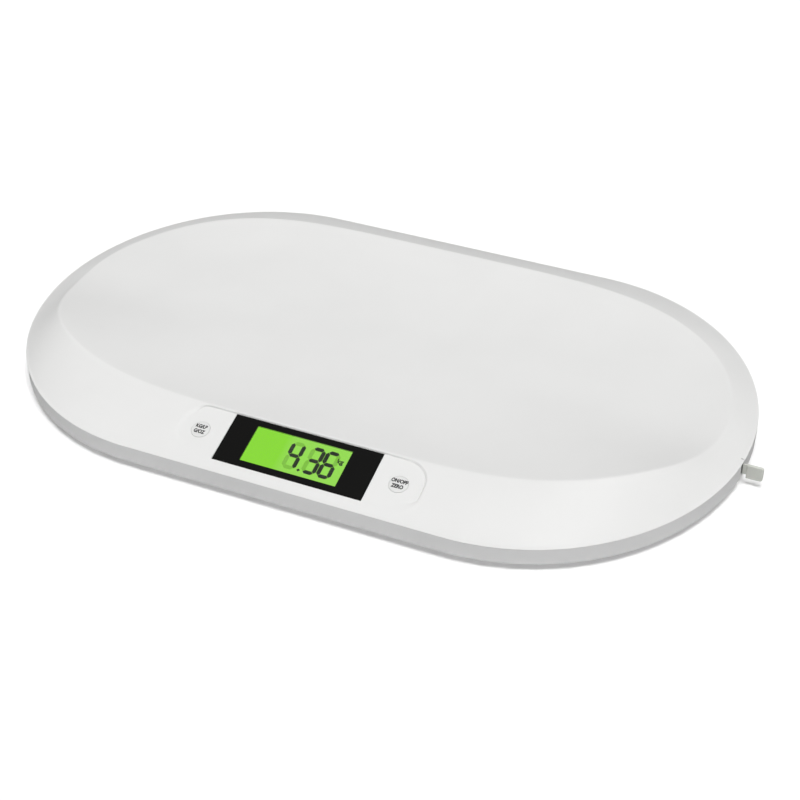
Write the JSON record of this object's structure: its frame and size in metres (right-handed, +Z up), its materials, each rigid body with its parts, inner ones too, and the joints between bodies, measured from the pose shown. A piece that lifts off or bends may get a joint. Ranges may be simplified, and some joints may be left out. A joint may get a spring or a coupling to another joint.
{
  "type": "digital baby weighing scale",
  "caption": "Oval digital baby weighing scale: a shallow tray cover on a low base with weighing feet, a lit display with press buttons, and a spring-return pull-out tape.",
  "frame": {"origin": "middle of the bounding box on the standing plane, under the foot pads", "axes": "+X along the body towards the pull tab, +Y towards the back away from the display, +Z up"},
  "size_m": [0.5634, 0.342, 0.0409],
  "materials": {
    "cover_plastic": "gloss",
    "base_plastic": "satin",
    "window_plastic": "gloss",
    "display_glass": "backlit green",
    "frame_plastic": "satin",
    "guide_acrylic": "clear",
    "strip_rubber": "matt",
    "board_laminate": "solder mask",
    "chip_epoxy": "matt",
    "screw_steel": "zinc plated",
    "switch_plastic": "matt",
    "plunger_plastic": "matt",
    "button_plastic": "gloss",
    "holder_plastic": "matt",
    "cell_steel": "nickel plated",
    "cup_plastic": "matt",
    "pad_rubber": "matt",
    "door_plastic": "satin",
    "battery_jacket": "gloss",
    "contact_steel": "nickel plated",
    "case_plastic": "matt",
    "drum_plastic": "matt",
    "tape_film": "coated",
    "spring_steel": "blued strip",
    "tab_plastic": "satin",
    "black_insulation": "matt",
    "red_insulation": "matt"
  },
  "bodies": {
    "scale": {"top_cover": "cover_plastic", "base_shell": "base_plastic", "display_window": "window_plastic", "lcd_glass": "display_glass", "lcd_frame": "frame_plastic", "light_guide": "guide_acrylic", "contact_strip": "strip_rubber", "main_board": "board_laminate", "control_chip": "chip_epoxy", "board_screws": "screw_steel", "tact_switches": "switch_plastic", "cell_holder_fl": "holder_plastic", "cell_holder_fr": "holder_plastic", "cell_holder_bl": "holder_plastic", "cell_holder_br": "holder_plastic", "load_cell_fl": "cell_steel", "load_cell_fr": "cell_steel", "load_cell_bl": "cell_steel", "load_cell_br": "cell_steel", "foot_cup_fl": "cup_plastic", "foot_cup_fr": "cup_plastic", "foot_cup_bl": "cup_plastic", "foot_cup_br": "cup_plastic", "foot_pad_fl": "pad_rubber", "foot_pad_fr": "pad_rubber", "foot_pad_bl": "pad_rubber", "foot_pad_br": "pad_rubber", "battery_1": "battery_jacket", "battery_2": "battery_jacket", "battery_3": "battery_jacket", "contact_springs": "contact_steel", "contact_plates": "contact_steel", "tape_case": "case_plastic", "tape_case_lid": "case_plastic", "return_spring": "spring_steel", "housing_screws": "screw_steel", "cell_lead_fl": "black_insulation", "cell_lead_fr": "black_insulation", "cell_lead_bl": "black_insulation", "cell_lead_br": "black_insulation", "battery_lead": "red_insulation"},
    "left_button": {"left_button": "button_plastic", "left_plunger": "plunger_plastic"},
    "right_button": {"right_button": "button_plastic", "right_plunger": "plunger_plastic"},
    "tape_end": {"pull_tab": "tab_plastic", "tape_blade": "tape_film"},
    "tape_drum": {"tape_drum": "drum_plastic", "wound_tape": "tape_film"},
    "battery_door": {"battery_door": "door_plastic"}
  },
  "joints": [
    {"name": "left_press", "type": "slide", "parent": "scale", "child": "left_button", "axis": [0, 0.2924, -0.9563], "range_m": [0, 0.0005], "stiffness_N_per_m": 2000},
    {"name": "right_press", "type": "slide", "parent": "scale", "child": "right_button", "axis": [0, 0.2924, -0.9563], "range_m": [0, 0.0005], "stiffness_N_per_m": 2000},
    {"name": "tape_pull", "type": "slide", "parent": "scale", "child": "tape_end", "axis": [1, 0, 0], "range_m": [0, 1], "stiffness_N_per_m": 0.6, "springref_m": -1.5},
    {"name": "drum_spin", "type": "hinge", "parent": "scale", "child": "tape_drum", "pos_m": [0.21523, -0.00399, 0.012], "axis": [0, 0, 1], "range_deg": [0, 5550]},
    {"name": "door_hinge", "type": "hinge", "parent": "scale", "child": "battery_door", "pos_m": [-0.00677, 0.07275, 0.0059], "axis": [1, 0, 0], "range_deg": [0, 85]}
  ],
  "couplings": [
    {"joint": "drum_spin", "follows": "tape_pull", "rad_per_m": 96.57}
  ]
}
